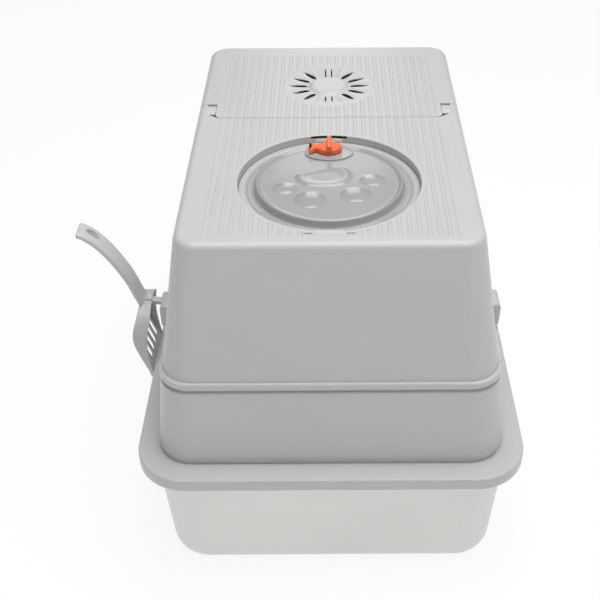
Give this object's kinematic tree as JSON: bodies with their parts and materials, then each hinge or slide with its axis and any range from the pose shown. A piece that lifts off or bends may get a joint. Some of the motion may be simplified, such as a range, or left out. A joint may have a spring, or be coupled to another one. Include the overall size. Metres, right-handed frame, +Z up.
{
  "type": "hooded cat litter box",
  "caption": "Hooded cat litter box: steel pan, plastic guard frame, two-piece hood with round top hatch, vent cap, tip-up front and hanging scoop.",
  "frame": {"origin": "on the floor, under the middle of the pan's flat bottom", "axes": "+Z up, +Y along the length towards the end with the cat's entrance, +X across; the scoop hangs on the -X side"},
  "size_m": [0.5189, 0.6, 0.4607],
  "materials": {
    "grey_plastic": "satin moulded polypropylene",
    "pan_steel": "satin stainless steel",
    "smoked_plastic": "glossy smoked translucent",
    "orange_plastic": "satin orange",
    "pin_steel": "bright",
    "carbon_foam": "open black foam"
  },
  "bodies": {
    "pan": {"litter_pan": "pan_steel"},
    "cover": {"guard_frame": "grey_plastic", "rear_hood": "grey_plastic", "flap_pin_left": "grey_plastic", "flap_pin_right": "grey_plastic", "door_hinge_pin": "pin_steel", "latch_pin_left": "pin_steel", "latch_pin_right": "pin_steel", "scoop_hanger": "grey_plastic", "hanger_screw_1": "pin_steel", "hanger_screw_2": "pin_steel"},
    "flap": {"front_hood": "grey_plastic"},
    "vent": {"vent_cap": "grey_plastic", "carbon_filter": "carbon_foam", "filter_retainer": "grey_plastic"},
    "door": {"top_door": "smoked_plastic"},
    "knob": {"door_knob": "orange_plastic", "knob_spindle": "grey_plastic", "latch_cam": "grey_plastic", "cam_screw": "pin_steel"},
    "latch_left": {"side_latch_left": "grey_plastic"},
    "latch_right": {"side_latch_right": "grey_plastic"},
    "scoop": {"scoop": "grey_plastic"}
  },
  "joints": [
    {"name": "cover_lift", "type": "slide", "parent": "pan", "child": "cover", "axis": [0, 0, 1], "range_m": [0, 0.2]},
    {"name": "flap_hinge", "type": "hinge", "parent": "cover", "child": "flap", "pos_m": [0, 0.0515, 0.4455], "axis": [1, 0, 0], "range_deg": [0, 90]},
    {"name": "vent_lift", "type": "slide", "parent": "flap", "child": "vent", "axis": [0, 0, 1], "range_m": [0, 0.05]},
    {"name": "door_hinge", "type": "hinge", "parent": "cover", "child": "door", "pos_m": [0, -0.2173, 0.446], "axis": [1, 0, 0], "range_deg": [0, 105]},
    {"name": "knob_turn", "type": "hinge", "parent": "door", "child": "knob", "pos_m": [0, -0.048, 0.449], "axis": [0, 0, -1], "range_deg": [0, 90]},
    {"name": "latch_left_swing", "type": "hinge", "parent": "cover", "child": "latch_left", "pos_m": [-0.1918, -0.125, 0.2664], "axis": [0, -1, 0], "range_deg": [0, 70]},
    {"name": "latch_right_swing", "type": "hinge", "parent": "cover", "child": "latch_right", "pos_m": [0.1918, -0.125, 0.2664], "axis": [0, 1, 0], "range_deg": [0, 70]},
    {"name": "scoop_lift", "type": "slide", "parent": "cover", "child": "scoop", "axis": [0, 0, 1], "range_m": [0, 0.12]}
  ]
}
